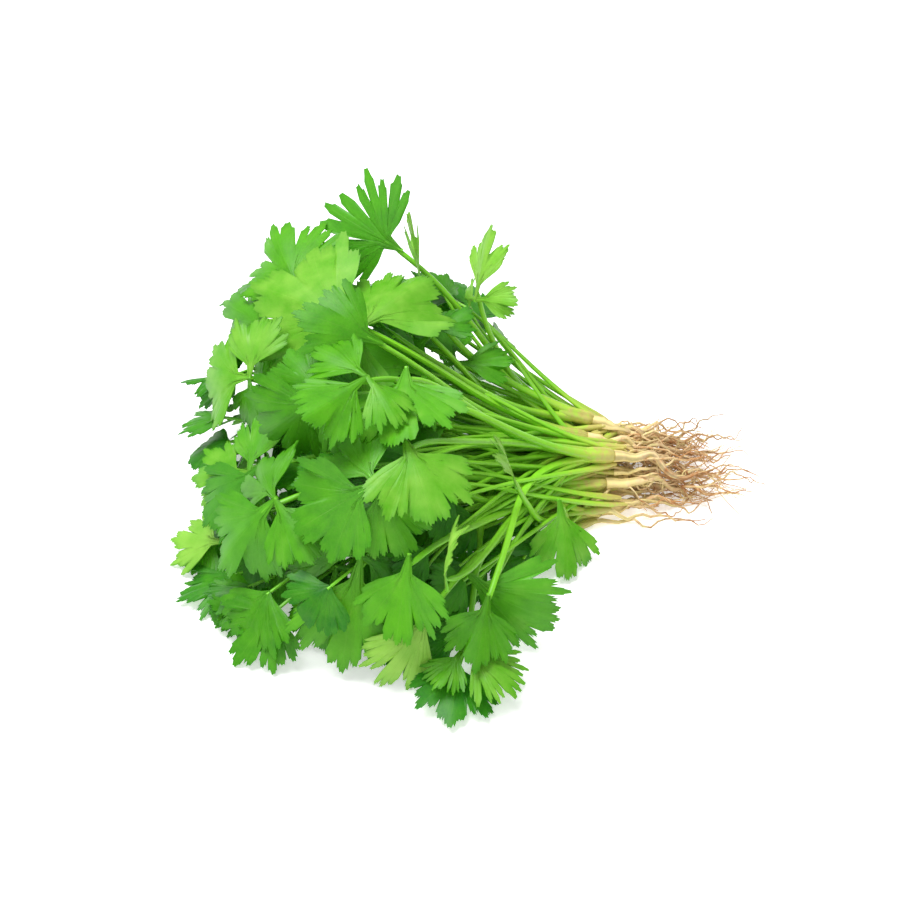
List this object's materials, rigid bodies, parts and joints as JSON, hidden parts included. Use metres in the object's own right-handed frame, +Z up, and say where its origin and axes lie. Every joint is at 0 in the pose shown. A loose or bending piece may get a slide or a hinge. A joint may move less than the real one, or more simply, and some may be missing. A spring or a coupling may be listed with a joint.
{
  "type": "coriander bunch",
  "caption": "Loose bunch of young coriander plants lying on its side: fan-shaped lobed leaves on thin green stalks, pale crowns side by side and thin brown roots.",
  "frame": {"origin": "on the table, under the middle of the whole bunch's bounding box", "axes": "+X along the bunch from the leaves to the roots, +Z up from the table, -Y towards the viewer of the picture"},
  "size_m": [0.2278, 0.193, 0.1036],
  "materials": {
    "leaf": "soft satin leaf green",
    "root": "matt light brown"
  },
  "bodies": {
    "root": {"plant_01": "leaf", "plant_02": "leaf", "plant_03": "leaf", "plant_04": "leaf", "plant_05": "leaf", "plant_06": "leaf", "plant_07": "leaf", "plant_08": "leaf", "plant_09": "leaf", "plant_10": "leaf", "plant_11": "leaf", "plant_12": "leaf", "root_01": "root", "root_02": "root", "root_03": "root", "root_04": "root", "root_05": "root", "root_06": "root", "root_07": "root", "root_08": "root", "root_09": "root", "root_10": "root", "root_11": "root", "root_12": "root"}
  },
  "joints": []
}
